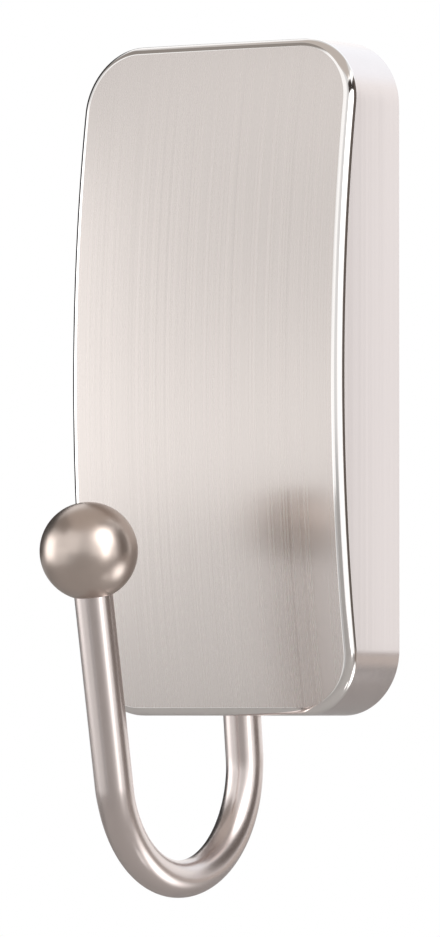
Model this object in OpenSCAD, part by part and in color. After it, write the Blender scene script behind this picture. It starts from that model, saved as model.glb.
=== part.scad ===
// Adhesive wall hook. A bowed metal cover carries a bent rod with a ball on its tip. Inside the
// cover a moulded carrier hangs on the lugs of a moulded base, and a stretch-release foam strip
// holds the base to the wall. The cover, carrier and rod lift off the base together, upwards.
// Millimetres. The wall is the plane Y = 0, the room lies towards -Y, and Z is up.
// Depths are measured from the wall. The origin is the centre of the strip's bonded area.

/* [Cover] */
// Width of the cover
cover_w = 41; // [38:0.5:48]
// Height of the cover
cover_h = 84; // [80:0.5:96]
// Radius of the cover's four corners, seen from the front
cover_corner_r = 8.2; // [6:0.1:10]
// Depth of the cover's walls at its top and bottom ends
cover_end_depth = 9.4; // [9:0.1:12]
// How far the front bows forward at mid-height
cover_bow = 4.1; // [3:0.1:6]
// Radius of the polished edge round the front
cover_edge_r = 1.25; // [0.8:0.05:1.6]
// Thickness of the cover
cover_wall = 1.2; // [1:0.05:1.4]
// Gap between the cover's rim and the wall
rim_gap = 0.5; // [0.3:0.05:0.8]

/* [Rod and ball] */
// Diameter of the rod
rod_d = 4.75; // [4:0.05:5.2]
// Depth of the rod's axis in front of the cover's rim, where it leaves the cover
rod_exit_depth = 4.85; // [4.5:0.05:5.4]
// Straight length of the rod below the cover
rod_drop = 4.7; // [3:0.1:10]
// Radius of the rod's bend, at its axis
rod_bend_r = 14.1; // [11:0.1:18]
// How much thinner the rod is drawn along its bend
rod_bend_draw = 0.1; // [0.06:0.02:0.2]
// Angle by which the rear arm leans towards the room as it rises
rod_rear_lean = 5.75; // [3:0.25:7]
// Angle by which the front arm leans towards the room as it rises
rod_front_lean = 10.5; // [6:0.25:15]
// Length of the front arm, from the end of the bend to the ball's centre
rod_front_len = 29.2; // [22:0.1:36]
// Length of the rod inside the cover
rod_grip_len = 16; // [14:0.1:18]
// Diameter of the ball
ball_d = 12; // [10:0.1:14]
// How far the rod's tip passes the ball's centre
ball_grip = 2; // [1:0.1:3]

/* [Rod socket] */
// Wall of the socket round the rod
socket_wall = 1.7; // [1.3:0.05:2]
// Closed end of the socket above the rod
socket_cap = 1.2; // [0.8:0.1:2]
// Diameter of the cross pin
pin_d = 2; // [1.5:0.1:2.4]
// Height of the cross pin above the cover's underside
pin_rise = 11; // [10.5:0.1:12]
// Socket wall left in front of the cross pin
pin_cover = 1; // [0.6:0.1:1.4]

/* [Mounting base] */
// Width of the base
base_w = 23; // [21:0.5:26]
// Height of the base
base_h = 58; // [54:0.5:62]
// Thickness of the base plate
base_t = 1.5; // [1.2:0.05:1.8]
// Radius of the base plate's corners
base_corner_r = 3; // [1.5:0.1:5]
// Distance from the top of the base to the top of the cover
head_room = 6; // [5:0.1:8]
// Length of a lug
lug_h = 10; // [8:0.1:11]
// Spacing of the upper and lower lugs
lug_pitch = 34; // [30:0.5:38]
// Distance from the centre line to a lug
lug_offset = 6.5; // [6:0.1:7.5]
// Thickness of a lug's stem
lug_stem = 1.5; // [1.2:0.05:1.8]
// How far a lug's lip reaches out past its stem
lug_lip = 2; // [1.6:0.05:2.4]
// Thickness of a lug's lip
lug_lip_t = 1.3; // [1.1:0.05:1.5]
// Height of the slot under a lug's lip
lug_slot = 1.5; // [1.3:0.05:1.8]
// Height of the stop shelf at the foot of a lug
shelf_h = 1.5; // [1:0.05:2]

/* [Adhesive strip] */
// Width of the strip
strip_w = 19; // [15:0.5:20]
// Thickness of the foam
foam_t = 0.9; // [0.7:0.05:1.1]
// Thickness of each adhesive layer
glue_t = 0.15; // [0.12:0.01:0.2]
// Distance from the bonded area's ends to the base's ends
bond_margin = 1; // [0.5:0.1:2]
// Length of the film on the pull tab, where it is gripped
tab_grip = 14; // [10:0.5:16]
// Thickness of the film on each face of the pull tab
tab_film_t = 0.1; // [0.06:0.01:0.11]
// Bare foam between the bonded area and the tab's film
tab_bare = 4; // [2:0.1:6]
// Radius of the pull tab's corners
tab_corner_r = 3; // [1:0.1:4]

/* [Carrier] */
// Thickness of the carrier's web
web_t = 1.5; // [1.3:0.05:1.7]
// Thickness of the carrier's rim
carrier_rim_t = 1.2; // [1:0.05:1.4]
// How far the carrier's rim lies inside the cover's rim
carrier_recess = 0.5; // [0.3:0.05:1]
// Thickness of a claw's stem
claw_t = 1.6; // [1.3:0.05:2]
// How much shorter a claw is than its lug
claw_short = 1; // [0.5:0.1:2]

/* [Screws] */
// Diameter of the screws
screw_d = 2.2; // [1.8:0.1:2.4]
// Length of the screws under the head
screw_len = 4; // [3.6:0.1:4.4]
// Diameter of the screw heads
screw_head_d = 4; // [3.4:0.1:4.4]
// Height of the screw heads
screw_head_h = 1.4; // [1.1:0.05:1.6]
// Width of the cross recess in a screw head
screw_recess_w = 0.6; // [0.4:0.05:0.8]
// Distance from a screw to the nearer end of the cover
screw_end = 10; // [9:0.1:12]
// Distance from a screw to the cover's side
screw_inset = 6; // [5.2:0.1:7]
// Diameter of the posts that the screws bite into
post_d = 4.6; // [4:0.1:5]

/* [Clearances] */
// Gap at the faces that slide when the hook is lifted off
run_gap = 0.2; // [0.15:0.01:0.25]
// Gap between the carrier and the inside of the cover
fit_gap = 0.15; // [0.1:0.01:0.25]
// Gap round the rod, the pin and the screws in their holes
pin_gap = 0.02; // [0.01:0.005:0.05]
// Gap between a claw and its stop shelf
seat_gap = 0.05; // [0.02:0.01:0.1]
// Gap round the rod in the cover's bottom wall and round a screw in the carrier
pass_gap = 0.2; // [0.1:0.05:0.3]
// Travel past the point where the claws leave the lugs
lift_spare = 1; // [0.5:0.1:1.5]

/* [Hidden] */

$fn = 96;
// Facets of the large cylinders that follow the bowed front
drum_fn = 720;
// Facets of the cover's skin along one corner, one side and the polished edge
corner_steps = 10;
side_steps = 14;
edge_steps = 6;
// Extra length of every cut, past the face that it opens
overrun = 1;

// Depths of the strip, the base and the carrier, in order from the wall
foam_back = glue_t;
foam_front = foam_back + foam_t;
strip_t = foam_front + glue_t;
base_front = strip_t + base_t;
lug_under = base_front + lug_slot;
lug_front = lug_under + lug_lip_t;
claw_back = base_front + run_gap;
claw_front = lug_under - run_gap;
web_back = lug_front + run_gap;
web_front = web_back + web_t;
carrier_back = rim_gap + carrier_recess;
tab_clear = foam_front + tab_film_t + run_gap;

// Heights
base_top = base_h / 2;
base_bottom = -base_h / 2;
bond_h = base_h - 2 * bond_margin;
bond_bottom = -bond_h / 2;
cover_top = base_top + head_room;
cover_bottom = cover_top - cover_h;
cover_mid = (cover_top + cover_bottom) / 2;
film_top = bond_bottom - tab_bare;
tab_end = film_top - tab_grip;
lift = lug_h + lift_spare;

// The bowed front is part of a cylinder that lies along X
front_r = (pow(cover_h / 2, 2) + pow(cover_bow, 2)) / (2 * cover_bow);
front_mid = rim_gap + cover_end_depth + cover_bow;
function front_run(z) = sqrt(pow(front_r, 2) - pow(z - cover_mid, 2));
function front_depth(z) = front_mid - front_r + front_run(z);
function front_slope(z) = (z - cover_mid) / front_run(z);

// The carrier's outline inside the cover
carrier_inset = cover_wall + fit_gap;

// Places of the lugs and screws
lug_out = lug_offset + lug_stem + lug_lip;
lug_heights = [lug_pitch / 2, -lug_pitch / 2];
screw_x = cover_w / 2 - screw_inset;
screw_heights = [cover_top - screw_end, cover_bottom + screw_end];
screw_chamfer = screw_head_h / 3;
screw_recess_h = screw_head_h / 2;
screw_point = screw_d / 4;

// The rod's axis: where it leaves the cover, the centre of its bend, and the end of the bend
exit_depth = rim_gap + rod_exit_depth;
rod_exit = [0, -exit_depth, cover_bottom];
bend_start = rod_exit + rod_drop * [0, sin(rod_rear_lean), -cos(rod_rear_lean)];
bend_centre = bend_start - rod_bend_r * [0, cos(rod_rear_lean), sin(rod_rear_lean)];
bend_end = bend_centre - rod_bend_r * [0, cos(rod_front_lean), sin(rod_front_lean)];
bend_angle = 180 - rod_front_lean + rod_rear_lean;
// How far the straight arms run on into the thinner bend
bend_lap = 0.1;
socket_d = rod_d + 2 * socket_wall;

// The cross pin lies along Y, in a blind hole from the back of the socket
pin_z = cover_bottom + pin_rise;
pin_back = claw_back + pin_gap;
socket_front = min(
    exit_depth + pin_rise * tan(rod_rear_lean) + socket_d / 2,
    front_depth(pin_z) - carrier_inset
);
pin_front = socket_front - pin_cover;

// Raised arrow on the base that shows which way is up
mark_w = 6;
mark_h = 5;
mark_rise = 0.4;

metal_face = "#d9d2ce";
metal_rod = "#cfc6c1";
metal_ball = "#a99b92";
metal_fixing = "#b9bcc0";
moulding = "#d6d7d4";
moulding_dark = "#c3c5c3";
foam_white = "#f4f3ee";
glue_clear = "#e9e4d2";
film_white = "#fbfbfa";

// Helpers. Outlines are drawn as seen from the front, with X across and Z up.

// Outline pushed out from one depth to another
module slab(near, far) {
    translate([0, -near, 0])
        rotate([90, 0, 0])
            linear_extrude(far - near)
                children();
}

// Box between two values of X, two depths and two heights
module block(x, depth, z) {
    translate([x[0], -depth[1], z[0]])
        cube([x[1] - x[0], depth[1] - depth[0], z[1] - z[0]]);
}

// Round bar or bore along Y, between two depths
module bar(x, z, d, near, far) {
    translate([x, -near, z])
        rotate([90, 0, 0])
            cylinder(d = d, h = far - near);
}

// Rectangle with round corners, centred
module rounded(w, h, r) {
    square([w, h - 2 * r], center = true);
    square([w - 2 * r, h], center = true);
    for (x = [r - w / 2, w / 2 - r], z = [r - h / 2, h / 2 - r])
        translate([x, z])
            circle(r = r);
}

// A shape on the right, and its mirror image on the left
module both_sides() {
    children();
    mirror([1, 0, 0])
        children();
}

// The cover's outline, drawn in by some amount
module cover_outline(inset) {
    translate([0, cover_mid])
        rounded(cover_w - 2 * inset, cover_h - 2 * inset, cover_corner_r - inset);
}

// Everything behind the bowed front, drawn in by some amount
module behind_front(inset) {
    translate([0, front_r - front_mid, cover_mid])
        rotate([0, 90, 0])
            cylinder(r = front_r - inset, h = cover_w, center = true, $fn = drum_fn);
}

// Straight bar along the rod's rear arm, from below the cover's underside to above it
module rear_arm(d, below, above) {
    translate(rod_exit)
        rotate([rod_rear_lean, 0, 0])
            translate([0, 0, -below])
                cylinder(d = d, h = below + above);
}

// Straight bar along the rod's front arm, measured from the end of the bend
module front_arm(d, from, to) {
    translate(bend_end)
        rotate([rod_front_lean, 0, 0])
            translate([0, 0, from])
                cylinder(d = d, h = to - from);
}

// Room for the pull tab in what passes it when the hook is lifted
module tab_room() {
    half = strip_w / 2 + pass_gap;
    block([-half, half], [-overrun, tab_clear], [cover_bottom - overrun, base_bottom]);
}

// Room for the base plate in what passes it when the hook is lifted
module base_room() {
    half = base_w / 2 + pass_gap;
    block([-half, half], [-overrun, claw_back], [base_bottom - lift - run_gap, base_top]);
}

// Strip: an outline of the bonded area, and of the pull tab from its end up to a height
module bond_outline() {
    square([strip_w, bond_h], center = true);
}

module tab_outline(top) {
    half = strip_w / 2;
    translate([-half, tab_end + tab_corner_r])
        square([strip_w, top - tab_end - tab_corner_r]);
    translate([tab_corner_r - half, tab_end])
        square([strip_w - 2 * tab_corner_r, tab_corner_r]);
    for (x = [tab_corner_r - half, half - tab_corner_r])
        translate([x, tab_end + tab_corner_r])
            circle(r = tab_corner_r);
}

module wall_adhesive() {
    color(glue_clear)
        slab(0, foam_back)
            bond_outline();
}

module foam_core() {
    color(foam_white)
        slab(foam_back, foam_front) {
            bond_outline();
            tab_outline(bond_bottom + tab_corner_r);
        }
}

module base_adhesive() {
    color(glue_clear)
        slab(foam_front, strip_t)
            bond_outline();
}

module tab_film_front() {
    color(film_white)
        slab(foam_front, foam_front + tab_film_t)
            tab_outline(film_top);
}

module tab_film_back() {
    color(film_white)
        slab(foam_back - tab_film_t, foam_back)
            tab_outline(film_top);
}

// A lug on the right: stem, lip over the slot, and the stop shelf at its foot
module lug(z) {
    x = [lug_offset, lug_out];
    foot = z - lug_h / 2;
    block([lug_offset, lug_offset + lug_stem], [base_front, lug_front], [foot, foot + lug_h]);
    block(x, [lug_under, lug_front], [foot, foot + lug_h]);
    block(x, [base_front, lug_front], [foot - shelf_h, foot]);
}

module mounting_base() {
    color(moulding)
        union() {
            difference() {
                slab(strip_t, base_front)
                    rounded(base_w, base_h, base_corner_r);
                // Mould openings under the lips
                both_sides()
                    for (z = lug_heights)
                        block(
                            [lug_offset + lug_stem, lug_out],
                            [strip_t - overrun, base_front + overrun],
                            [z - lug_h / 2, z + lug_h / 2]
                        );
            }
            both_sides()
                for (z = lug_heights)
                    lug(z);
            slab(base_front, base_front + mark_rise)
                polygon([[-mark_w / 2, -mark_h / 2], [mark_w / 2, -mark_h / 2], [0, mark_h / 2]]);
        }
}

// A claw on the right, which hooks behind a lug's lip
module claw(z) {
    outer = lug_out + run_gap + claw_t;
    foot = z - lug_h / 2 + seat_gap;
    head = foot + lug_h - claw_short;
    block([lug_out + run_gap, outer], [claw_back, web_back], [foot, head]);
    block([lug_offset + lug_stem + run_gap, outer], [claw_back, claw_front], [foot, head]);
}

// Mould opening in the web, in front of a claw's lip
module claw_opening(z) {
    foot = z - lug_h / 2 + seat_gap;
    block(
        [lug_offset + lug_stem + run_gap, lug_out + run_gap],
        [(claw_front + web_back) / 2, web_front + overrun],
        [foot, foot + lug_h - claw_short]
    );
}

module socket() {
    intersection() {
        rear_arm(socket_d, socket_d, rod_grip_len + seat_gap + socket_cap);
        slab(0, front_mid)
            cover_outline(carrier_inset);
        behind_front(carrier_inset);
    }
}

module slide_carrier() {
    color(moulding_dark)
        difference() {
            union() {
                slab(web_back, web_front)
                    cover_outline(carrier_inset);
                slab(carrier_back, web_back)
                    difference() {
                        cover_outline(carrier_inset);
                        cover_outline(carrier_inset + carrier_rim_t);
                    }
                both_sides()
                    for (z = lug_heights)
                        claw(z);
                socket();
            }
            both_sides()
                for (z = lug_heights)
                    claw_opening(z);
            both_sides()
                for (z = screw_heights)
                    bar(screw_x, z, screw_d + 2 * pass_gap, web_back - overrun, web_front + overrun);
            rear_arm(rod_d + 2 * pin_gap, rod_d, rod_grip_len + seat_gap);
            bar(0, pin_z, pin_d + 2 * pin_gap, 0, pin_front + pin_gap);
            tab_room();
            base_room();
        }
}

// Self-tapping screw with a chamfered head, a cross recess and a blunt point
module screw(x, z) {
    head_back = web_back - screw_head_h;
    length = screw_head_h + screw_len;
    r = screw_d / 2;
    head_r = screw_head_d / 2;
    cross = screw_head_d / 4;
    difference() {
        translate([x, -head_back, z])
            rotate([90, 0, 0])
                rotate_extrude()
                    polygon([
                        [0, 0],
                        [head_r - screw_chamfer, 0],
                        [head_r, screw_chamfer],
                        [head_r, screw_head_h],
                        [r, screw_head_h],
                        [r, length - screw_point],
                        [r - screw_point, length],
                        [0, length]
                    ]);
        for (half = [[cross, screw_recess_w / 2], [screw_recess_w / 2, cross]])
            block(
                [x - half[0], x + half[0]],
                [head_back - overrun, head_back + screw_recess_h],
                [z - half[1], z + half[1]]
            );
    }
}

module carrier_screws() {
    color(metal_fixing)
        both_sides()
            for (z = screw_heights)
                screw(screw_x, z);
}

module rod_pin() {
    color(metal_fixing)
        bar(0, pin_z, pin_d, pin_back, pin_front);
}

// Right half of the cover's outline from the bottom up, as points with their outward normals
function corner_half(centre, start) = [
    for (i = [0 : corner_steps])
        let (a = start + 90 * i / corner_steps, n = [cos(a), sin(a)])
        [centre + cover_corner_r * n, n]
];

function outline_half() =
    let (
        x = cover_w / 2 - cover_corner_r,
        low = cover_bottom + cover_corner_r,
        high = cover_top - cover_corner_r
    )
    concat(
        corner_half([x, low], -90),
        [
            for (i = [1 : side_steps - 1])
                [[cover_w / 2, low + (high - low) * i / side_steps], [1, 0]]
        ],
        corner_half([x, high], 0)
    );

// Point on the polished edge, which turns from the side wall (0) into the bowed front (1)
function edge_point(p, turn_share) =
    let (
        n = p[1],
        z = p[0][1] - cover_edge_r * n[1],
        tilt = atan(n[1] * front_slope(z)),
        turn = (90 - tilt) * turn_share,
        at = p[0] - cover_edge_r * (1 - cos(turn)) * n,
        depth = front_depth(z) - cover_edge_r / cos(tilt) + cover_edge_r * sin(turn)
    )
    [at[0], -depth, at[1]];

// The cover's outer skin as a solid: rings from the rim to the front, which is ruled across X
module cover_skin() {
    half = outline_half();
    m = len(half);
    n = 2 * m;
    layers = concat(
        [[for (p = half) [p[0][0], -rim_gap, p[0][1]]]],
        [for (k = [0 : edge_steps]) [for (p = half) edge_point(p, k / edge_steps)]]
    );
    front = (len(layers) - 1) * n;
    points = [
        for (layer = layers)
            each concat(layer, [for (i = [m - 1 : -1 : 0]) [-layer[i][0], layer[i][1], layer[i][2]]])
    ];
    walls = [
        for (k = [0 : len(layers) - 2], i = [0 : n - 1])
            let (a = k * n + i, b = k * n + (i + 1) % n)
            each [[a, a + n, b + n], [a, b + n, b]]
    ];
    face = [
        for (i = [0 : m - 2])
            let (a = front + i, b = front + n - 1 - i)
            each [[a, b, b - 1], [a, b - 1, a + 1]]
    ];
    polyhedron(points, concat([[for (i = [0 : n - 1]) i]], walls, face));
}

// Hollow of the cover, open towards the wall
module cover_hollow() {
    intersection() {
        slab(rim_gap - overrun, front_mid)
            cover_outline(cover_wall);
        behind_front(cover_wall);
    }
}

// Posts on the inside of the front, which meet the carrier's web
module posts() {
    both_sides()
        for (z = screw_heights)
            intersection() {
                bar(screw_x, z, post_d, web_front, front_mid);
                behind_front(cover_wall / 2);
            }
}

module face_cover() {
    color(metal_face)
        difference() {
            union() {
                difference() {
                    cover_skin();
                    cover_hollow();
                }
                posts();
            }
            both_sides()
                for (z = screw_heights)
                    bar(
                        screw_x, z, screw_d + 2 * pin_gap,
                        web_front - overrun, web_back + screw_len + pin_gap
                    );
            rear_arm(rod_d + 2 * pass_gap, rod_d, rod_d);
            tab_room();
        }
}

module hook_rod() {
    color(metal_rod)
        difference() {
            union() {
                rear_arm(rod_d, rod_drop + bend_lap, rod_grip_len);
                translate(bend_centre)
                    rotate([90, 0, 90])
                        rotate([0, 0, rod_front_lean - 180])
                            rotate_extrude(angle = bend_angle)
                                translate([rod_bend_r, 0])
                                    circle(d = rod_d - rod_bend_draw);
                front_arm(rod_d, -bend_lap, rod_front_len + ball_grip);
            }
            bar(0, pin_z, pin_d + 2 * pin_gap, 0, front_mid);
        }
}

module ball_knob() {
    color(metal_ball)
        difference() {
            translate(bend_end + rod_front_len * [0, -sin(rod_front_lean), cos(rod_front_lean)])
                sphere(d = ball_d);
            front_arm(rod_d + 2 * pin_gap, 0, rod_front_len + ball_grip + seat_gap);
        }
}

wall_adhesive();
foam_core();
base_adhesive();
tab_film_front();
tab_film_back();
mounting_base();
slide_carrier();
carrier_screws();
rod_pin();
face_cover();
hook_rod();
ball_knob();
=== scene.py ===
"""Looks of an adhesive wall hook: brushed nickel cover, bent rod with a ball tip, and wall base inside.

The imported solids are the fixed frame. The cover, the rod and the ball are made again as finer meshes in the
same places. The moulded pieces, the strip and the fixings keep their solids and get their finishes here.
Lengths are in metres, Z is up, the wall is the plane Y = 0 and the room lies towards -Y.
"""

import logging
import math
from collections.abc import Callable, Iterable, Sequence
from dataclasses import dataclass
from enum import Enum

import bmesh
import bpy
from bmesh.types import BMesh, BMFace, BMVert
from bpy.types import Material, Node, NodeSocket, NodeTree, Object
from mathutils import Matrix, Vector


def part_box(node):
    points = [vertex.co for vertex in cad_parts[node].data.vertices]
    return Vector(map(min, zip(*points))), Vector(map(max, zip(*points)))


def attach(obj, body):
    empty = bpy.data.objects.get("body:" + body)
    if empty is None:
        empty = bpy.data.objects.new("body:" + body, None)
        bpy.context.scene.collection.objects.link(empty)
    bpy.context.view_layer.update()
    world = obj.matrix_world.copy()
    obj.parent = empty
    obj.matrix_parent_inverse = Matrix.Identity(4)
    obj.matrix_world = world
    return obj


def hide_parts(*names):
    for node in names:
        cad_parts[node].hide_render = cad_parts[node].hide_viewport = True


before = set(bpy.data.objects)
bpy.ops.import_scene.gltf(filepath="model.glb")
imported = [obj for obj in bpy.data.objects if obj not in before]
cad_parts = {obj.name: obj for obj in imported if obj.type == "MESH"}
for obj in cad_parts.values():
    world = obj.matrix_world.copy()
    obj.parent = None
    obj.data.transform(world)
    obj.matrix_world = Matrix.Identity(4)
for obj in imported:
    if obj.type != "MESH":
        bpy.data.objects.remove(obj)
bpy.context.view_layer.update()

MM = 0.001
LOG = logging.getLogger("wall_hook")

NORMAL_WEIGHT = 80
MERGE_DISTANCE = 1e-7

Colour = tuple[float, float, float]
Point = tuple[float, float, float]
Value = float | NodeSocket
Feeds = dict[int | str, Value | Sequence[float]]
Effect = tuple[Value, Value, Value]


class Body(Enum):
    """The two bodies of the hook, by their names in the frame."""

    WALL_BASE = "wall_base"
    HOOK_BODY = "hook_body"


class Slot(Enum):
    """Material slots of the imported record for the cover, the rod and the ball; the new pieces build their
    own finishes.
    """

    COVER = "cover_metal"
    ROD = "rod_metal"
    BALL = "ball_metal"


class Zone(Enum):
    """Surfaces of the cover that differ in finish, by their material index."""

    FRONT = 0
    EDGE = 1
    WALL = 2
    INSIDE = 3


class Grain(Enum):
    """Brush lines of a metal, as noise cells per metre along X, Y and Z."""

    FRONT = (2300.0, 0.0, 2.5)
    WALL = (2600.0, 2600.0, 7.0)
    TURNED = (900.0, 900.0, 9000.0)


class CardShape(Enum):
    """Outline of a lit card in the tent."""

    PANEL = "panel"
    DISC = "disc"


class Tree:
    """A node tree with short calls that add nodes and join them."""

    def __init__(self, tree: NodeTree) -> None:
        """Keeps the tree to add to."""
        self.tree = tree

    def add(self, kind: str, **settings: object) -> Node:
        """Adds a node.

        Args:
            kind: Blender's name of the node type.
            settings: properties of the node and their values.

        Returns:
            The new node.
        """
        node = self.tree.nodes.new(kind)
        for name, value in settings.items():
            setattr(node, name, value)
        return node

    def feed(self, socket: NodeSocket, value: Value | Sequence[float]) -> None:
        """Links a socket to another one, or sets its plain value.

        Args:
            socket: the input to feed.
            value: an output socket, a number or a vector.
        """
        if isinstance(value, NodeSocket):
            self.tree.links.new(value, socket)
        else:
            socket.default_value = value

    def out(self, kind: str, feeds: Feeds, **settings: object) -> NodeSocket:
        """Adds a node and feeds its inputs.

        Args:
            kind: Blender's name of the node type.
            feeds: what goes into its inputs, by their name or index.
            settings: properties of the node and their values.

        Returns:
            The node's first output.
        """
        node = self.add(kind, **settings)
        for key, value in feeds.items():
            self.feed(node.inputs[key], value)
        return node.outputs[0]

    def math(self, operation: str, *values: Value) -> NodeSocket:
        """Gives the result of a Math node on some values in order."""
        return self.out("ShaderNodeMath", dict(enumerate(values)), operation=operation)

    def ramp(self, value: Value, low: float, high: float, at_low: float, at_high: float) -> NodeSocket:
        """Maps a value smoothly from one range to another and holds it outside that range."""
        feeds = dict(enumerate((value, low, high, at_low, at_high)))
        return self.out("ShaderNodeMapRange", feeds, interpolation_type="SMOOTHSTEP")

    def blend(self, share: Value, first: Value, second: Value) -> NodeSocket:
        """Mixes two numbers: share 0 is the first and share 1 the second."""
        return self.out("ShaderNodeMix", {0: share, 2: first, 3: second}, data_type="FLOAT")

    def noise(self, vector: Value, scale: Value, detail: float) -> NodeSocket:
        """Gives noise from 0 to 1, at scale cells per unit of the vector, with detail finer layers."""
        return self.out("ShaderNodeTexNoise", {"Vector": vector, "Scale": scale, "Detail": detail})

    def tinted(self, colour: Colour, tone: NodeSocket) -> NodeSocket:
        """Scales a colour by a tone that changes over the surface."""
        return self.out("ShaderNodeVectorMath", {0: colour, "Scale": tone}, operation="SCALE")

    def bump(self, height: NodeSocket, depth: float, strength: float) -> NodeSocket:
        """Gives the normal of a relief from 0 to 1, with its real depth and how strongly it shows."""
        return self.out("ShaderNodeBump", {"Strength": strength, "Distance": depth, "Height": height})


class EffectGroups:
    """Shader node groups that several finishes share, each built once.

    The line and broad scales are cells per unit of the vector. The haze and flow scales are multiples of
    the group's own scale.
    """

    LINE_SCALE = 1.0
    BROAD_SCALE = 0.22
    BROAD_SHARE = 0.3
    HAZE_SCALE = 14.0
    HAZE_SHARE = 0.5
    FLOW_SCALE = 0.03
    PLAIN_DETAIL = 1.0
    FLOW_DETAIL = 2.0
    CLOUD_DETAIL = 3.0

    def __init__(self) -> None:
        """Builds all groups."""
        self.brushing = self._group("Brush lines", ("Contrast",), self._brushing)
        self.mottle = self._group("Polish mottle", ("Scale", "Contrast"), self._mottle)
        self.skin = self._group("Moulded skin", ("Scale", "Contrast"), self._skin)

    def _group(self, name: str, values: Iterable[str], draw: Callable[[Tree, Node], Effect]) -> NodeTree:
        """Makes one group with a vector input, named number inputs and the three common outputs.

        Args:
            name: the group's name.
            values: names of its number inputs.
            draw: adds the nodes and returns the sockets for the outputs.

        Returns:
            The group's tree.
        """
        group = bpy.data.node_groups.new(name, "ShaderNodeTree")
        group.interface.new_socket("Vector", in_out="INPUT", socket_type="NodeSocketVector")
        for value in values:
            group.interface.new_socket(value, in_out="INPUT", socket_type="NodeSocketFloat")
        for result in ("Tone", "Roughness Shift", "Height"):
            group.interface.new_socket(result, in_out="OUTPUT", socket_type="NodeSocketFloat")
        tree = Tree(group)
        inputs = tree.add("NodeGroupInput")
        outputs = tree.add("NodeGroupOutput")
        for socket, value in zip(outputs.inputs, draw(tree, inputs)):
            tree.feed(socket, value)
        return group

    @staticmethod
    def _spread(tree: Tree, value: Value, contrast: Value, middle: float) -> NodeSocket:
        """Turns noise from 0 to 1 into a value that swings about a middle by the contrast."""
        centred, span = tree.math("SUBTRACT", value, 0.5), tree.math("MULTIPLY", contrast, 2.0)
        return tree.math("ADD", tree.math("MULTIPLY", centred, span), middle)

    def _brushing(self, tree: Tree, inputs: Node) -> Effect:
        """Fine lines with broader, fainter bands of the same direction under them.

        Args:
            tree: the group's tree.
            inputs: its input node.

        Returns:
            Tone, roughness shift and height.
        """
        fine = tree.noise(inputs.outputs["Vector"], self.LINE_SCALE, self.PLAIN_DETAIL)
        broad = tree.noise(inputs.outputs["Vector"], self.BROAD_SCALE, self.PLAIN_DETAIL)
        lines = tree.blend(self.BROAD_SHARE, fine, broad)
        tone = self._spread(tree, lines, inputs.outputs["Contrast"], 1.0)
        return tone, self._spread(tree, fine, inputs.outputs["Contrast"], 0.0), fine

    def _mottle(self, tree: Tree, inputs: Node) -> Effect:
        """Soft clouds, as hand polishing and handling leave them, and the fine haze between them.

        Args:
            tree: the group's tree.
            inputs: its input node.

        Returns:
            Tone, roughness shift and height.
        """
        clouds = tree.noise(inputs.outputs["Vector"], inputs.outputs["Scale"], self.CLOUD_DETAIL)
        haze_scale = tree.math("MULTIPLY", inputs.outputs["Scale"], self.HAZE_SCALE)
        haze = tree.noise(inputs.outputs["Vector"], haze_scale, self.PLAIN_DETAIL)
        tone = self._spread(tree, clouds, inputs.outputs["Contrast"], 1.0)
        mixed = tree.blend(self.HAZE_SHARE, clouds, haze)
        return tone, self._spread(tree, mixed, inputs.outputs["Contrast"], 0.0), haze

    def _skin(self, tree: Tree, inputs: Node) -> Effect:
        """Grains of a spark-eroded mould over slow shades from the melt's flow.

        Args:
            tree: the group's tree.
            inputs: its input node.

        Returns:
            Tone, roughness shift and height.
        """
        grains = tree.add("ShaderNodeTexVoronoi", feature="SMOOTH_F1")
        tree.feed(grains.inputs["Vector"], inputs.outputs["Vector"])
        tree.feed(grains.inputs["Scale"], inputs.outputs["Scale"])
        flow_scale = tree.math("MULTIPLY", inputs.outputs["Scale"], self.FLOW_SCALE)
        flow = tree.noise(inputs.outputs["Vector"], flow_scale, self.FLOW_DETAIL)
        tone = self._spread(tree, flow, inputs.outputs["Contrast"], 1.0)
        shift = self._spread(tree, flow, inputs.outputs["Contrast"], 0.0)
        return tone, shift, grains.outputs["Distance"]


METAL_RELIEF = (0.002 * MM, 0.05)
MOULDED_STRENGTH = 0.6


@dataclass(frozen=True)
class Finish:
    """What every finish has: a name, a colour and a roughness."""

    name: str
    colour: Colour
    roughness: float

    def start(self) -> tuple[Material, Tree, Node, NodeSocket]:
        """Makes the material.

        Returns:
            The material, its tree, its Principled shader and the object coordinates.
        """
        material = bpy.data.materials.new(self.name)
        material.use_nodes = True
        tree = Tree(material.node_tree)
        shader = material.node_tree.nodes["Principled BSDF"]
        coordinates = tree.add("ShaderNodeTexCoord").outputs["Object"]
        return material, tree, shader, coordinates

    def dress(self, tree: Tree, shader: Node, effect: Node, relief: tuple[float, float]) -> None:
        """Feeds colour, roughness and normal of a shader from one effect group.

        Args:
            tree: the material's tree.
            shader: its Principled shader.
            effect: the group node with the common outputs.
            relief: the bump's real height and strength.
        """
        tree.feed(shader.inputs["Base Color"], tree.tinted(self.colour, effect.outputs["Tone"]))
        rough = tree.math("ADD", effect.outputs["Roughness Shift"], self.roughness)
        tree.feed(shader.inputs["Roughness"], rough)
        tree.feed(shader.inputs["Normal"], tree.bump(effect.outputs["Height"], *relief))

    def build(self, groups: EffectGroups) -> Material:
        """Makes the material; each kind of finish does so in its own way."""
        raise NotImplementedError(self.name)


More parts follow.
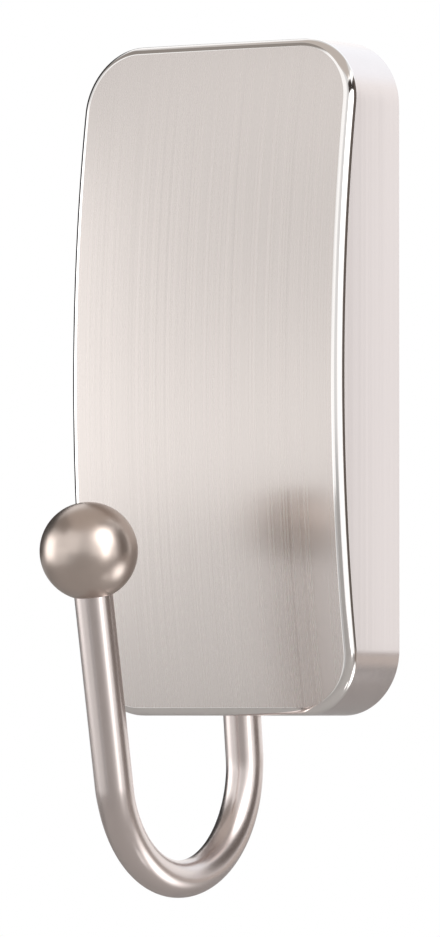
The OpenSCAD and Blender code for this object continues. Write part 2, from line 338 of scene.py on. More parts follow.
@dataclass(frozen=True)
class BrushedMetal(Finish):
    """Metal with brush lines in one direction, which stretch its reflections across them."""

    grain: Grain
    contrast: float
    anisotropy: float

    def build(self, groups: EffectGroups) -> Material:
        """Makes the material.

        Args:
            groups: the shared effects.

        Returns:
            The material.
        """
        material, tree, shader, coordinates = self.start()
        mapping = tree.add("ShaderNodeMapping")
        mapping.inputs["Scale"].default_value = self.grain.value
        tree.feed(mapping.inputs["Vector"], coordinates)
        lines = tree.add("ShaderNodeGroup", node_tree=groups.brushing)
        tree.feed(lines.inputs["Vector"], mapping.outputs["Vector"])
        lines.inputs["Contrast"].default_value = self.contrast
        self.dress(tree, shader, lines, METAL_RELIEF)
        shader.inputs["Metallic"].default_value = 1.0
        shader.inputs["Anisotropic"].default_value = self.anisotropy
        tangent = tree.add("ShaderNodeTangent", direction_type="RADIAL", axis="Z")
        tree.feed(shader.inputs["Tangent"], tangent.outputs["Tangent"])
        return material


@dataclass(frozen=True)
class PolishedMetal(Finish):
    """Plated and polished metal with the faint clouds that polishing leaves."""

    cloud_size: float
    contrast: float

    def build(self, groups: EffectGroups) -> Material:
        """Makes the material.

        Args:
            groups: the shared effects.

        Returns:
            The material.
        """
        material, tree, shader, coordinates = self.start()
        clouds = tree.add("ShaderNodeGroup", node_tree=groups.mottle)
        tree.feed(clouds.inputs["Vector"], coordinates)
        clouds.inputs["Scale"].default_value = 1.0 / self.cloud_size
        clouds.inputs["Contrast"].default_value = self.contrast
        self.dress(tree, shader, clouds, METAL_RELIEF)
        shader.inputs["Metallic"].default_value = 1.0
        return material


@dataclass(frozen=True)
class Moulding(Finish):
    """Moulded plastic, foam or film: a grained skin with slow shades under it."""

    grain_size: float
    contrast: float
    relief: float

    def build(self, groups: EffectGroups) -> Material:
        """Makes the material.

        Args:
            groups: the shared effects.

        Returns:
            The material.
        """
        material, tree, shader, coordinates = self.start()
        skin = tree.add("ShaderNodeGroup", node_tree=groups.skin)
        tree.feed(skin.inputs["Vector"], coordinates)
        skin.inputs["Scale"].default_value = 1.0 / self.grain_size
        skin.inputs["Contrast"].default_value = self.contrast
        self.dress(tree, shader, skin, (self.relief, MOULDED_STRENGTH))
        return material


BRUSHED_FRONT = BrushedMetal("Brushed nickel front", (0.622, 0.572, 0.545), 0.26, Grain.FRONT, 0.08, 0.6)
POLISHED_EDGE = PolishedMetal("Polished nickel edge", (0.89, 0.86, 0.84), 0.08, 6 * MM, 0.012)
SATIN_WALL = BrushedMetal("Satin nickel wall", (0.785, 0.722, 0.708), 0.18, Grain.WALL, 0.05, 0.2)
RAW_INSIDE = BrushedMetal("Unplated inside", (0.42, 0.41, 0.40), 0.42, Grain.TURNED, 0.05, 0.0)
SATIN_ROD = PolishedMetal("Satin nickel rod", (0.70, 0.625, 0.60), 0.26, 5 * MM, 0.02)
SATIN_BALL = PolishedMetal("Satin nickel ball", (0.60, 0.512, 0.46), 0.3, 4 * MM, 0.02)
ZINC_SCREW = PolishedMetal("Zinc-plated screw", (0.62, 0.64, 0.67), 0.28, 0.8 * MM, 0.06)
TURNED_PIN = BrushedMetal("Turned steel pin", (0.56, 0.56, 0.57), 0.24, Grain.TURNED, 0.06, 0.0)
BASE_PLASTIC = Moulding("White moulded base", (0.80, 0.80, 0.78), 0.48, 0.25 * MM, 0.05, 0.02 * MM)
CARRIER_PLASTIC = Moulding("Grey moulded carrier", (0.56, 0.57, 0.56), 0.5, 0.3 * MM, 0.06, 0.025 * MM)
STRIP_FOAM = Moulding("White strip foam", (0.88, 0.87, 0.83), 0.75, 0.18 * MM, 0.06, 0.06 * MM)
STRIP_ADHESIVE = Moulding("Strip adhesive", (0.82, 0.79, 0.70), 0.32, 0.7 * MM, 0.08, 0.05 * MM)
TAB_FILM = Moulding("Pull tab film", (0.90, 0.90, 0.89), 0.26, 1.4 * MM, 0.03, 0.012 * MM)


def link_mesh(name: str, mesh_data: BMesh) -> Object:
    """Turns mesh data into an object of the scene.

    Args:
        name: the object's name.
        mesh_data: its faces; freed here.

    Returns:
        The new object.
    """
    mesh = bpy.data.meshes.new(name)
    mesh_data.to_mesh(mesh)
    mesh_data.free()
    made = bpy.data.objects.new(name, mesh)
    bpy.context.scene.collection.objects.link(made)
    return made


def new_piece(name: str, mesh_data: BMesh, sharp_angle: float) -> Object:
    """Turns mesh data into a smooth-shaded piece of the hook.

    Args:
        name: the piece's name.
        mesh_data: its faces; freed here.
        sharp_angle: edges that turn by more than this many degrees stay sharp.

    Returns:
        The new object.
    """
    bmesh.ops.recalc_face_normals(mesh_data, faces=mesh_data.faces)
    piece = link_mesh(name, mesh_data)
    shade_smooth(piece, sharp_angle)
    return piece


def shade_smooth(piece: Object, sharp_angle: float) -> None:
    """Shades a mesh smooth up to an angle, and lets its large faces set the normals at their edges.

    Args:
        piece: the object to shade.
        sharp_angle: edges that turn by more than this many degrees stay sharp.
    """
    piece.data.shade_smooth()
    piece.data.set_sharp_from_angle(angle=math.radians(sharp_angle))
    normals = piece.modifiers.new("Even normals", "WEIGHTED_NORMAL")
    normals.keep_sharp = True
    normals.weight = NORMAL_WEIGHT


def add_tube(mesh_data: BMesh, rings: list[list[Vector]]) -> list[list[BMVert]]:
    """Joins closed rings of points into a tube.

    Args:
        mesh_data: where the tube goes.
        rings: rings with the same number of points each.

    Returns:
        The rings' vertices.
    """
    made = [[mesh_data.verts.new(point) for point in ring] for ring in rings]
    for ring, following in zip(made, made[1:]):
        count = len(ring)
        for i in range(count):
            j = (i + 1) % count
            mesh_data.faces.new((ring[i], ring[j], following[j], following[i]))
    return made


def round_turns(steps: int) -> list[float]:
    """Angles once round a circle, in equal steps."""
    return [math.tau * i / steps for i in range(steps)]


def add_lathe(mesh_data: BMesh, profile: Sequence[tuple[float, float]], place: Matrix, steps: int) -> None:
    """Turns a profile about an axis. A profile that ends on the axis is closed there by a fan.

    Args:
        mesh_data: where the faces go.
        profile: radius and height of each point in turn.
        place: puts the axis, which is local Z, in the scene.
        steps: points round the axis.
    """
    turns = round_turns(steps)
    rings = []
    for radius, height in profile:
        rings.append([place @ Vector((radius * math.cos(t), radius * math.sin(t), height)) for t in turns])
    add_tube(mesh_data, rings)
    bmesh.ops.remove_doubles(mesh_data, verts=mesh_data.verts, dist=MERGE_DISTANCE)


def arc_points(radius: float, start: float, end: float, steps: int) -> list[tuple[float, float]]:
    """Points on a flat arc about the origin.

    Args:
        radius: its radius.
        start: angle of the first point in degrees.
        end: angle of the last point in degrees.
        steps: number of chords.

    Returns:
        The points from start to end.
    """
    angles = [math.radians(start + (end - start) * i / steps) for i in range(steps + 1)]
    return [(radius * math.cos(a), radius * math.sin(a)) for a in angles]


@dataclass
class RodLine:
    """The rod's centre line, shared by the rod, the ball and the hole in the cover.

    The bend is thinner by a hair more than the solid's 0.1 mm, which keeps the finer mesh in its box.
    """

    diameter: float = 4.75 * MM
    exit_depth: float = 5.35 * MM
    drop: float = 4.7 * MM
    bend_r: float = 14.1 * MM
    bend_draw: float = 0.1005 * MM
    rear_lean: float = math.radians(5.75)
    front_lean: float = math.radians(10.5)
    front_len: float = 29.2 * MM
    grip_len: float = 16.0 * MM

    def __post_init__(self) -> None:
        """Works out the corners of the line from the cover's underside."""
        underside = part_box("face_cover")[0].z
        self.up_rear = Vector((0.0, -math.sin(self.rear_lean), math.cos(self.rear_lean)))
        self.up_front = Vector((0.0, -math.sin(self.front_lean), math.cos(self.front_lean)))
        self.exit = Vector((0.0, -self.exit_depth, underside))
        self.bend_start = self.exit - self.drop * self.up_rear
        self.centre = self.bend_start + self.bend_r * Vector((0.0, -self.up_rear.z, self.up_rear.y))
        self.bend_end = self.centre + self.bend_r * Vector((0.0, -self.up_front.z, self.up_front.y))
        self.ball = self.bend_end + self.front_len * self.up_front

    def bend_point(self, share: float) -> tuple[Vector, Vector]:
        """Point of the bend and the direction of travel there.

        Args:
            share: 0 at the rear arm, 1 at the front arm.

        Returns:
            The point and the unit direction.
        """
        sweep = math.pi - self.front_lean + self.rear_lean
        turn = Matrix.Rotation(-sweep * share, 3, "X")
        return self.centre + turn @ (self.bend_start - self.centre), turn @ -self.up_rear


@dataclass
class CoverShell:
    """The bowed cover: brushed front, polished edge, satin walls, and the hollow behind them."""

    corner_r: float = 8.2 * MM
    bow: float = 4.1 * MM
    crown: float = 0.55 * MM
    edge_r: float = 1.25 * MM
    wall: float = 1.2 * MM
    rim_break: float = 0.15 * MM
    rod_gap: float = 0.2 * MM
    tab_half_w: float = 9.7 * MM
    tab_depth: float = 1.35 * MM
    post_r: float = 2.3 * MM
    post_bore_r: float = 1.12 * MM
    post_inset: float = 6.0 * MM
    post_end: float = 10.0 * MM
    post_back: float = 7.2 * MM
    corner_steps: int = 28
    side_steps: int = 72
    edge_steps: int = 16
    columns: int = 36
    bore_steps: int = 96
    sharp_angle: float = 40.0

    def __post_init__(self) -> None:
        """Takes the outer sizes from the frame and works out the bowed front."""
        low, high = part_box("face_cover")
        self.low, self.high = low, high
        self.rim = -high.y
        self.front_mid = -low.y
        self.mid = (low.z + high.z) / 2
        half = (high.z - low.z) / 2
        self.front_r = (half**2 + self.bow**2) / (2 * self.bow)
        self.crown_half = high.x - self.edge_r
        self.corner_x = high.x - self.corner_r
        self.half_count = 2 * self.corner_steps + self.side_steps + 1
        self.cut_reach = 2 * self.wall

    def bowed_depth(self, z: float, inset: float = 0.0) -> float:
        """Depth of the bow at a height, or of a surface that follows it further in."""
        run = math.sqrt((self.front_r - inset) ** 2 - (z - self.mid) ** 2)
        return self.front_mid - self.front_r + run

    def front_depth(self, x: float, z: float) -> float:
        """Depth of the front, which is bowed along its height and slightly crowned across its width."""
        return self.bowed_depth(z) + self.crown * (1 - (x / self.crown_half) ** 2)

    def lining_depth(self, _x: float, z: float) -> float:
        """Depth of the inside of the front, which has no crown and so is the same all across."""
        return self.bowed_depth(z, self.wall)

    def front_fall(self, x: float, z: float, out: Vector) -> float:
        """How fast the front falls back at a point.

        Args:
            x: the point across the cover.
            z: its height.
            out: the direction of the fall, across and up.

        Returns:
            The slope.
        """
        along = (z - self.mid) / math.sqrt(self.front_r**2 - (z - self.mid) ** 2)
        across = 2 * self.crown * x / self.crown_half**2
        return out.x * across + out.y * along

    def corner(self, z: float, start: float) -> list[tuple[Vector, Vector]]:
        """Points and outward normals of a corner on the right.

        Args:
            z: height of the corner's centre.
            start: angle in degrees where its quarter turn starts.

        Returns:
            The corner from the bottom up.
        """
        found = []
        for i in range(self.corner_steps + 1):
            a = math.radians(start + 90 * i / self.corner_steps)
            normal = Vector((math.cos(a), math.sin(a)))
            found.append((Vector((self.corner_x, z)) + self.corner_r * normal, normal))
        return found

    def outline(self) -> list[tuple[Vector, Vector]]:
        """Points and outward normals once round the cover, seen from the front.

        Returns:
            The right half from the bottom up, the top, the left half, and the bottom.
        """
        low, high = self.low.z + self.corner_r, self.high.z - self.corner_r
        up = [low + (high - low) * i / self.side_steps for i in range(1, self.side_steps)]
        side = [(Vector((self.high.x, z)), Vector((1.0, 0.0))) for z in up]
        right = self.corner(low, -90.0) + side + self.corner(high, 0.0)
        left = [(Vector((-p.x, p.y)), Vector((-n.x, n.y))) for p, n in reversed(right)]
        x = self.corner_x
        across = [x - 2 * x * i / self.columns for i in range(1, self.columns)]
        top = [(Vector((k, self.high.z)), Vector((0.0, 1.0))) for k in across]
        bottom = [(Vector((-k, self.low.z)), Vector((0.0, -1.0))) for k in across]
        return right + top + left + bottom

    def flat_ring(self, inset: float, depth: float) -> list[Vector]:
        """Ring at one depth, drawn in from the outline."""
        return [self.at(p - inset * n, depth) for p, n in self.outline()]

    def edge_ring(self, share: float) -> list[Vector]:
        """Ring on the polished edge, which turns from the wall into the front.

        Args:
            share: 0 at the wall, 1 at the front.

        Returns:
            The ring's points in the outline's order.
        """
        ring = []
        for p, n in self.outline():
            x, z = p - self.edge_r * n
            tilt = math.atan(self.front_fall(x, z, n))
            turn = (math.pi / 2 - tilt) * share
            inset = self.edge_r * (1 - math.cos(turn))
            depth = self.front_depth(x, z) - self.edge_r / math.cos(tilt) + self.edge_r * math.sin(turn)
            ring.append(self.at(p - inset * n, depth))
        return ring

    @staticmethod
    def at(point: Vector, depth: float) -> Vector:
        """Puts a point of the outline at a depth from the wall."""
        return Vector((point.x, -depth, point.y))

    def close_front(
        self, mesh_data: BMesh, ring: list[BMVert], depth: Callable[[float, float], float]
    ) -> list[BMFace]:
        """Fills a ring with a surface that follows the bowed front.

        Args:
            mesh_data: where the faces go.
            ring: the ring's vertices in the outline's order.
            depth: depth of the surface at a place across the cover and a height.

        Returns:
            The new faces.
        """
        half, columns = self.half_count, self.columns
        bottom = 2 * half + columns - 1
        rows = []
        for i in range(half):
            right, left = ring[i], ring[bottom - 1 - i]
            if i == 0:
                inner = list(reversed(ring[bottom:]))
            elif i == half - 1:
                inner = ring[half : half + columns - 1]
            else:
                shares = [j / columns for j in range(1, columns)]
                inner = [mesh_data.verts.new(right.co.lerp(left.co, share)) for share in shares]
                for vertex in inner:
                    vertex.co.y = -depth(vertex.co.x, vertex.co.z)
            rows.append([right, *inner, left])
        faces = []
        for row, above in zip(rows, rows[1:]):
            for j in range(columns):
                faces.append(mesh_data.faces.new((row[j], row[j + 1], above[j + 1], above[j])))
        return faces

    def shell_mesh(self) -> BMesh:
        """Builds the closed shell, inside and out, with the zone of each face as its material.

        Returns:
            The shell's faces, before the rod's hole and the tab's notch are cut.
        """
        shell = bmesh.new()
        inner_depth = [self.bowed_depth(p.y, self.wall) for p, _ in self.outline()]
        inner_top = [self.at(p - self.wall * n, d) for (p, n), d in zip(self.outline(), inner_depth)]
        lining = [inner_top, self.flat_ring(self.wall, self.rim + self.rim_break)]
        rim = [self.flat_ring(inset, self.rim) for inset in (self.wall - self.rim_break, self.rim_break)]
        wall = [self.flat_ring(0.0, self.rim + self.rim_break)]
        edge = [self.edge_ring(i / self.edge_steps) for i in range(self.edge_steps + 1)]
        rings = add_tube(shell, lining + rim + wall + edge)
        zones = [Zone.INSIDE, Zone.INSIDE, Zone.WALL, Zone.WALL, Zone.WALL] + [Zone.EDGE] * self.edge_steps
        shell.faces.ensure_lookup_table()
        count = len(rings[0])
        for index, zone in enumerate(zones):
            for face in shell.faces[index * count : (index + 1) * count]:
                face.material_index = zone.value
        for face in self.close_front(shell, rings[-1], self.front_depth):
            face.material_index = Zone.FRONT.value
        for face in self.close_front(shell, rings[0], self.lining_depth):
            face.material_index = Zone.INSIDE.value
        return shell

    def cut(self, piece: Object, tool: Object) -> None:
        """Takes one shape out of the shell and removes the shape from the scene.

        Args:
            piece: the shell.
            tool: the shape to take out.
        """
        for material in piece.data.materials:
            tool.data.materials.append(material)
        for polygon in tool.data.polygons:
            polygon.material_index = Zone.WALL.value
        modifier = piece.modifiers.new("Cut", "BOOLEAN")
        modifier.object = tool
        modifier.solver = "EXACT"
        depsgraph = bpy.context.evaluated_depsgraph_get()
        result = bpy.data.meshes.new_from_object(piece.evaluated_get(depsgraph))
        piece.modifiers.remove(modifier)
        piece.data = result
        bpy.data.objects.remove(tool)

    def rod_hole(self, line: RodLine) -> Object:
        """Bore in the bottom wall that the rod passes through.

        Args:
            line: the rod's centre line.

        Returns:
            The shape to take out.
        """
        tool = bmesh.new()
        radius, reach = line.diameter / 2 + self.rod_gap, self.cut_reach
        profile = [(0.0, -reach), (radius, -reach), (radius, reach), (0.0, reach)]
        place = Matrix.Translation(line.exit) @ Matrix.Rotation(line.rear_lean, 4, "X")
        add_lathe(tool, profile, place, self.bore_steps)
        return new_piece("rod_hole_tool", tool, self.sharp_angle)

    def tab_notch(self) -> Object:
        """Notch in the bottom wall that lets the pull tab pass.

        Returns:
            The shape to take out.
        """
        tool = bmesh.new()
        bmesh.ops.create_cube(tool, size=1.0)
        size = 2 * Vector((self.tab_half_w, self.tab_depth, self.cut_reach))
        for vertex in tool.verts:
            vertex.co = Vector(a * b for a, b in zip(vertex.co, size)) + Vector((0.0, 0.0, self.low.z))
        return new_piece("tab_notch_tool", tool, self.sharp_angle)

    def build_shell(self, groups: EffectGroups, line: RodLine) -> Object:
        """Makes the cover in place of its solid.

        Args:
            groups: shared effects for the finishes.
            line: the rod's centre line, for its hole.

        Returns:
            The cover.
        """
        shell = new_piece("cover_shell", self.shell_mesh(), self.sharp_angle)
        shell.modifiers.clear()
        for finish in (BRUSHED_FRONT, POLISHED_EDGE, SATIN_WALL, RAW_INSIDE):
            shell.data.materials.append(finish.build(groups))
        self.cut(shell, self.rod_hole(line))
        self.cut(shell, self.tab_notch())
        shade_smooth(shell, self.sharp_angle)
        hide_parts("face_cover")
        return shell

    def build_posts(self, inside: Material) -> Object:
        """Makes the four screw posts on the inside of the front.

        Args:
            inside: the unplated metal.

        Returns:
            The posts as one piece.
        """
        posts = bmesh.new()
        x = self.high.x - self.post_inset
        for side in (-x, x):
            for z in (self.low.z + self.post_end, self.high.z - self.post_end):
                floor = self.bowed_depth(z, self.wall) - self.post_back - self.rim_break
                place = Matrix.Translation((side, -self.post_back, z)) @ Matrix.Rotation(math.pi / 2, 4, "X")
                bore, outer, soft = self.post_bore_r, self.post_r, self.rim_break
                profile = [(0.0, floor - soft), (bore, floor - soft), (bore, soft), (bore + soft, 0.0)]
                profile += [(outer - soft, 0.0), (outer, soft), (outer, floor), (0.0, floor)]
                add_lathe(posts, profile, place, self.bore_steps // 2)
        piece = new_piece("cover_posts", posts, self.sharp_angle)
        piece.data.materials.append(inside)
        return piece

    def build(self, groups: EffectGroups, line: RodLine) -> list[Object]:
        """Makes the cover and its posts, and seats them on the hook's body.

        Args:
            groups: shared effects for the finishes.
            line: the rod's centre line.

        Returns:
            The new pieces.
        """
        shell = self.build_shell(groups, line)
        posts = self.build_posts(shell.data.materials[Zone.INSIDE.value])
        for piece in (shell, posts):
            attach(piece, Body.HOOK_BODY.value)
        return [shell, posts]


@dataclass
class HookRod:
    """The bent rod, swept along its line from inside the cover to inside the ball."""

    line: RodLine
    tip_share: float = 0.97
    end_break: float = 0.4 * MM
    draw_run_share: float = 0.06
    bend_steps: int = 144
    arm_steps: int = 16
    round_steps: int = 96
    sharp_angle: float = 35.0

    def stations(self) -> list[tuple[Vector, Vector, float]]:
        """Points along the rod with their direction and radius.

        Returns:
            Stations from the end in the socket to the tip in the ball.
        """
        line, radius = self.line, self.line.diameter / 2
        top = line.exit + line.grip_len * line.up_rear
        down = -line.up_rear
        found = [(top, down, radius - self.end_break), (top + self.end_break * down, down, radius)]
        for i in range(1, self.arm_steps):
            found.append((top.lerp(line.bend_start, i / self.arm_steps), down, radius))
        for i in range(self.bend_steps + 1):
            share = i / self.bend_steps
            ease = min(1.0, share / self.draw_run_share, (1 - share) / self.draw_run_share)
            drawn = line.bend_draw / 2 * ease * ease * (3 - 2 * ease)
            found.append((*line.bend_point(share), radius - drawn))
        for i in range(1, self.arm_steps + 1):
            share = self.tip_share * i / self.arm_steps
            found.append((line.bend_end.lerp(line.ball, share), line.up_front, radius))
        return found

    def build(self, groups: EffectGroups) -> Object:
        """Makes the rod in place of its solid.

        Args:
            groups: shared effects for the finish.

        Returns:
            The rod.
        """
        rod = bmesh.new()
        across = Vector((1.0, 0.0, 0.0))
        turns = round_turns(self.round_steps)
        rings = []
        for point, along, radius in self.stations():
            out = across.cross(along)
            rings.append([point + radius * (math.cos(t) * across + math.sin(t) * out) for t in turns])
        made = add_tube(rod, rings)
        rod.faces.new(made[0])
        rod.faces.new(made[-1])
        piece = new_piece("bent_rod", rod, self.sharp_angle)
        piece.data.materials.append(SATIN_ROD.build(groups))
        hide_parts("hook_rod")
        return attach(piece, Body.HOOK_BODY.value)


@dataclass
class BallKnob:
    """The ball on the rod's tip, with a bore that has a broken edge.

    Its diameter is a hair under the solid's 12 mm, which keeps the finer mesh in the solid's box.
    """

    line: RodLine
    diameter: float = 11.9995 * MM
    grip: float = 2.0 * MM
    bore_gap: float = 0.02 * MM
    mouth_break: float = 0.12 * MM
    profile_steps: int = 96
    round_steps: int = 128
    sharp_angle: float = 35.0

    def build(self, groups: EffectGroups) -> Object:
        """Makes the ball in place of its solid.

        Args:
            groups: shared effects for the finish.

        Returns:
            The ball.
        """
        radius = self.diameter / 2
        bore = self.line.diameter / 2 + self.bore_gap
        mouth = -math.degrees(math.acos((bore + self.mouth_break) / radius))
        profile = arc_points(radius, 90.0, mouth, self.profile_steps)
        lip = profile[-1][1] + self.mouth_break
        profile += [(bore, lip), (bore, self.grip), (0.0, self.grip)]
        place = Matrix.Translation(self.line.ball) @ Matrix.Rotation(self.line.front_lean, 4, "X")
        ball = bmesh.new()
        add_lathe(ball, profile, place, self.round_steps)
        piece = new_piece("ball_tip", ball, self.sharp_angle)
        piece.data.materials.append(SATIN_BALL.build(groups))
        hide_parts("ball_knob")
        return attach(piece, Body.HOOK_BODY.value)


@dataclass
class KeptPieces:
    """Solids that keep their shape: each gets its finish and a small break on its edges."""

    finishes: dict[str, Finish]
    edge_break: float
    break_segments: int = 2
    break_angle: float = 40.0

    def dress(self, groups: EffectGroups) -> list[Object]:
        """Dresses the solids.

        Args:
            groups: shared effects for the finishes.

        Returns:
            The dressed objects.
        """
        made: dict[Finish, Material] = {}
        pieces = []
        for node, finish in self.finishes.items():
            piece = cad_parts[node]
            if finish not in made:
                made[finish] = finish.build(groups)
            piece.data.materials.clear()
            piece.data.materials.append(made[finish])
            soft = piece.modifiers.new("Edge break", "BEVEL")
            soft.width = self.edge_break
            soft.segments = self.break_segments
            soft.limit_method = "ANGLE"
            soft.angle_limit = math.radians(self.break_angle)
            pieces.append(piece)
        return pieces


WALL_BASE = KeptPieces(
    {
        "mounting_base": BASE_PLASTIC,
        "foam_core": STRIP_FOAM,
        "wall_adhesive": STRIP_ADHESIVE,
        "base_adhesive": STRIP_ADHESIVE,
        "tab_film_front": TAB_FILM,
        "tab_film_back": TAB_FILM,
    },
    edge_break=0.03 * MM,
)
CARRIER = KeptPieces(
    {"slide_carrier": CARRIER_PLASTIC, "carrier_screws": ZINC_SCREW, "rod_pin": TURNED_PIN},
    edge_break=0.08 * MM,
)


WHITE: Colour = (1.0, 1.0, 1.0)
WARM: Colour = (1.0, 0.83, 0.74)
TAUPE: Colour = (1.0, 0.91, 0.84)
COOL: Colour = (0.95, 1.0, 1.05)
HOOK_MIDDLE: Point = (0.0, -15 * MM, -15 * MM)
LOW_CORNER: Point = (19.5 * MM, -10.5 * MM, -46.5 * MM)
TOP_CORNER: Point = (20.0 * MM, -10.5 * MM, 29.5 * MM)


def glow_material(name: str) -> tuple[Material, Tree, Node]:
    """Starts a material that only glows.

    Args:
        name: the material's name.

    Returns:
        The material without shaders, its tree, and the object coordinates split into X, Y and Z.
    """
    material = bpy.data.materials.new(name)
    material.use_nodes = True
    material.node_tree.nodes.clear()
    tree = Tree(material.node_tree)
    split = tree.add("ShaderNodeSeparateXYZ")
    tree.feed(split.inputs[0], tree.add("ShaderNodeTexCoord").outputs["Object"])
    return material, tree, split


def stage_piece(name: str, data: BMesh, material: Material) -> Object:
    """Puts something into the scene that belongs to the studio.

    Args:
        name: its name.
        data: its faces; freed here.
        material: its material.

    Returns:
        The new object.
    """
    piece = link_mesh(name, data)
    piece.data.materials.append(material)
    return piece


@dataclass(frozen=True)
class Card:
    """A card of the studio: a soft box, a reflector or a dark flag that faces the hook.

    Directions and half sizes are degrees as seen from the point aimed at. The bearing is 0 towards the
    room (-Y) and 90 to the right (+X); the rise is above the horizon. The outer share of the card, soft,
    fades out.
    """

    name: str
    bearing: float
    rise: float
    distance: float
    half_w: float
    half_h: float
    soft: float
    light: float
    shape: CardShape = CardShape.PANEL
    tint: Colour = WHITE
    aim: Point = HOOK_MIDDLE

    def fade(self, tree: Tree, out: NodeSocket) -> NodeSocket:
        """Share that shows at a distance from the card's middle, where 1 is its edge."""
        return tree.ramp(out, 1.0 - self.soft, 1.0, 1.0, 0.0)

    def material(self) -> Material:
        """Makes the card's glow, which fades out towards its edge.

        Returns:
            The material.
        """
        material, tree, split = glow_material(self.name)
        across = tree.math("ABSOLUTE", split.outputs["X"])
        up = tree.math("ABSOLUTE", split.outputs["Y"])
        if self.shape is CardShape.PANEL:
            shown = tree.math("MULTIPLY", self.fade(tree, across), self.fade(tree, up))
        else:
            squares = tree.math("ADD", tree.math("POWER", across, 2.0), tree.math("POWER", up, 2.0))
            shown = self.fade(tree, tree.math("SQRT", squares))
        facing = tree.math("SUBTRACT", 1.0, tree.add("ShaderNodeNewGeometry").outputs["Backfacing"])
        glow = tree.add("ShaderNodeEmission")
        glow.inputs["Color"].default_value = (*self.tint, 1.0)
        glow.inputs["Strength"].default_value = self.light
        mixed = tree.add("ShaderNodeMixShader")
        tree.feed(mixed.inputs[0], tree.math("MULTIPLY", shown, facing))
        tree.feed(mixed.inputs[1], tree.add("ShaderNodeBsdfTransparent").outputs[0])
        tree.feed(mixed.inputs[2], glow.outputs[0])
        tree.feed(tree.add("ShaderNodeOutputMaterial").inputs["Surface"], mixed.outputs[0])
        return material

    def hang(self) -> Object:
        """Hangs the card, which the camera looks through.

        Returns:
            The card.
        """
        side, lift = math.radians(self.bearing), math.radians(self.rise)
        towards = Vector((math.sin(side) * math.cos(lift), -math.cos(side) * math.cos(lift), math.sin(lift)))
        data = bmesh.new()
        bmesh.ops.create_grid(data, x_segments=1, y_segments=1, size=1.0)
        card = stage_piece(self.name, data, self.material())
        card.location = Vector(self.aim) + self.distance * towards
        card.rotation_euler = (-towards).to_track_quat("Z", "Y").to_euler()
        card.scale.x = self.distance * math.tan(math.radians(self.half_w))
        card.scale.y = self.distance * math.tan(math.radians(self.half_h))
        card.visible_camera = False
        return card


CARDS = (
    Card("left_soft_box", -66.0, 3.0, 0.40, 22.0, 22.0, 0.6, 2.5),
    Card("front_fill", -20.0, 17.0, 2.2, 36.0, 29.0, 0.28, 1.09),
    Card("front_shade", -33.0, 12.5, 2.1, 34.0, 10.0, 0.9, 0.93),
    Card("front_band", -30.0, -3.5, 2.0, 32.0, 9.0, 0.85, 1.25),
    Card("low_fill", -34.0, -16.5, 0.50, 38.0, 10.5, 0.35, 0.86),
    Card("low_front_flag", -8.0, -17.0, 0.45, 9.0, 12.0, 0.3, 0.5),
    Card("right_soft_box", 74.0, 12.0, 0.90, 36.0, 36.0, 0.25, 1.12),
    Card("right_strip", 74.0, 6.0, 0.60, 13.0, 34.0, 0.9, 4.2),
    Card("right_lamp", 72.0, 27.0, 0.25, 28.0, 28.0, 0.9, 5.0, CardShape.DISC),
    Card("right_flag", 122.5, 16.0, 0.70, 21.0, 23.0, 0.14, 0.13, tint=WARM),
    Card("low_right_flag", 123.0, -14.0, 0.70, 19.0, 9.0, 0.3, 0.25, tint=WARM),
    Card("low_reflector", 126.0, -38.0, 0.28, 22.0, 20.0, 0.85, 2.8, CardShape.DISC),
    Card("back_fill", 180.0, 20.0, 2.2, 39.0, 25.0, 0.1, 1.14),
    Card("low_back_fill", 160.0, -12.0, 0.50, 36.0, 10.0, 0.9, 0.62, tint=TAUPE),
    Card("upper_back_fill", 180.0, 36.0, 2.1, 36.0, 16.0, 0.7, 1.2, tint=COOL),
    Card("left_flag", -112.0, 16.0, 0.80, 31.0, 22.0, 0.15, 0.04),
    Card("upper_left_flag", -60.0, 44.0, 0.80, 28.0, 13.5, 0.2, 0.3, tint=TAUPE),
    Card("upper_left_fill", -128.0, 42.0, 0.85, 13.0, 14.0, 0.3, 1.1),
    Card("ceiling_flag", 30.0, 80.0, 1.0, 37.0, 37.0, 0.2, 0.56, tint=TAUPE),
    Card("top_corner_flag", 75.0, 34.5, 0.045, 40.0, 11.0, 0.4, 0.05, tint=WARM, aim=TOP_CORNER),
    Card("top_corner_light", 113.0, 43.0, 0.035, 28.0, 7.5, 0.5, 1.3, aim=TOP_CORNER),
    Card("low_corner_light", 93.0, -57.0, 0.20, 8.0, 8.0, 0.5, 1.5, CardShape.DISC, aim=LOW_CORNER),
)


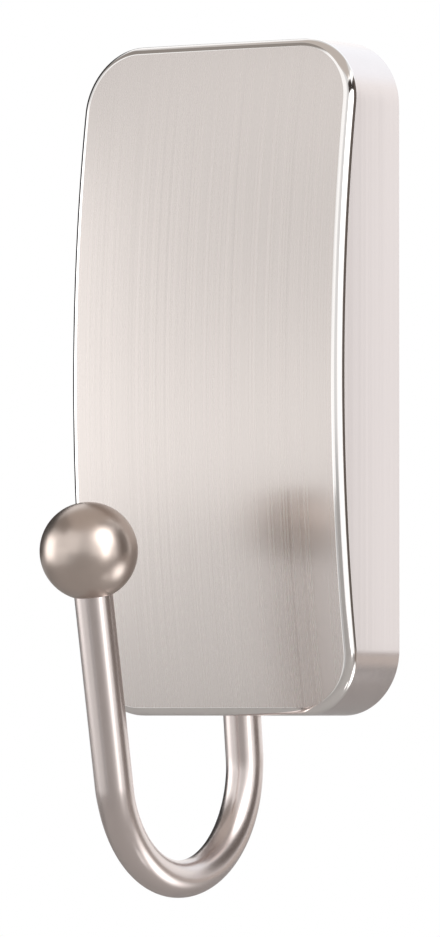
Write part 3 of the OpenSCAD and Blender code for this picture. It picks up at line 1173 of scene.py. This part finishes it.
@dataclass
class Studio:
    """Camera, white surround, pale floor, and a tent with cards round the hook."""

    bearing: float = math.radians(34.97)
    distance: float = 1.0377
    sideways: float = -5.843 * MM
    height: float = -48.27 * MM
    pitch: float = math.radians(1.673)
    lens: float = 317.4
    sensor: float = 36.0
    nearest: float = 0.01
    farthest: float = 50.0
    tent_r: float = 3.0
    tent_fade: float = 0.1
    tent_columns: int = 96
    tent_rows: int = 48
    ground_light: float = 0.45
    tent_light: float = 0.76
    floor_r: float = 2.4
    floor_z: float = -0.25
    floor_steps: int = 128
    floor_colour: Colour = (0.46, 0.445, 0.435)
    floor_roughness: float = 0.9

    def place_camera(self) -> Object:
        """Makes the camera at the photograph's angle.

        Returns:
            The camera.
        """
        data = bpy.data.cameras.new("Front right view")
        data.lens = self.lens
        data.sensor_width = self.sensor
        data.clip_start, data.clip_end = self.nearest, self.farthest
        camera = bpy.data.objects.new("Front right view", data)
        right = Vector((math.cos(self.bearing), math.sin(self.bearing), 0.0))
        ahead = Vector((-math.sin(self.bearing), math.cos(self.bearing), 0.0))
        camera.location = self.sideways * right - self.distance * ahead + Vector((0.0, 0.0, self.height))
        look = math.cos(self.pitch) * ahead + Vector((0.0, 0.0, math.sin(self.pitch)))
        camera.rotation_euler = look.to_track_quat("-Z", "Y").to_euler()
        bpy.context.scene.collection.objects.link(camera)
        bpy.context.scene.camera = camera
        return camera

    def hang_tent(self) -> Object:
        """Hangs the tent, pale above and darker below, which the camera looks through.

        Returns:
            The tent.
        """
        material, tree, split = glow_material("Light tent")
        glow = tree.add("ShaderNodeEmission")
        fade_z = -self.tent_fade * self.tent_r
        shade = tree.ramp(split.outputs["Z"], fade_z, 0.0, self.ground_light, self.tent_light)
        tree.feed(glow.inputs["Strength"], shade)
        tree.feed(tree.add("ShaderNodeOutputMaterial").inputs["Surface"], glow.outputs[0])
        # Rays that bounce find the tent by themselves, so it needn't be sampled as a lamp.
        material.cycles.emission_sampling = "NONE"
        data = bmesh.new()
        bmesh.ops.create_uvsphere(
            data, u_segments=self.tent_columns, v_segments=self.tent_rows, radius=self.tent_r
        )
        tent = stage_piece("light_tent", data, material)
        tent.visible_camera = False
        return tent

    def lay_floor(self) -> Object:
        """Lays the pale floor, well below the hook and clear from underneath.

        Returns:
            The floor.
        """
        material = bpy.data.materials.new("Pale floor")
        material.use_nodes = True
        tree = Tree(material.node_tree)
        shader = material.node_tree.nodes["Principled BSDF"]
        shader.inputs["Base Color"].default_value = (*self.floor_colour, 1.0)
        shader.inputs["Roughness"].default_value = self.floor_roughness
        one_sided = tree.add("ShaderNodeMixShader")
        tree.feed(one_sided.inputs[0], tree.add("ShaderNodeNewGeometry").outputs["Backfacing"])
        tree.feed(one_sided.inputs[1], shader.outputs[0])
        tree.feed(one_sided.inputs[2], tree.add("ShaderNodeBsdfTransparent").outputs[0])
        tree.feed(material.node_tree.nodes["Material Output"].inputs["Surface"], one_sided.outputs[0])
        data = bmesh.new()
        bmesh.ops.create_circle(data, cap_ends=True, segments=self.floor_steps, radius=self.floor_r)
        floor = stage_piece("studio_floor", data, material)
        floor.location.z = self.floor_z
        return floor

    def set_surround(self) -> None:
        """Makes the surround plain white."""
        world = bpy.data.worlds.new("White surround")
        world.use_nodes = True
        background = world.node_tree.nodes["Background"]
        background.inputs["Color"].default_value = (*WHITE, 1.0)
        background.inputs["Strength"].default_value = 1.0
        bpy.context.scene.world = world
        bpy.context.scene.view_settings.view_transform = "Standard"

    def build(self) -> None:
        """Sets the whole studio up."""
        self.place_camera()
        self.hang_tent()
        for card in CARDS:
            card.hang()
        self.lay_floor()
        self.set_surround()


def main() -> None:
    """Builds the hook piece by piece, then the studio."""
    logging.basicConfig(level=logging.INFO, format="%(name)s: %(message)s")
    groups = EffectGroups()
    line = RodLine()
    pieces = CoverShell().build(groups, line)
    pieces.append(HookRod(line).build(groups))
    pieces.append(BallKnob(line).build(groups))
    pieces += WALL_BASE.dress(groups) + CARRIER.dress(groups)
    for piece in pieces:
        LOG.info("%s: %d faces", piece.name, len(piece.data.polygons))
    Studio().build()


if __name__ == "__main__":
    main()
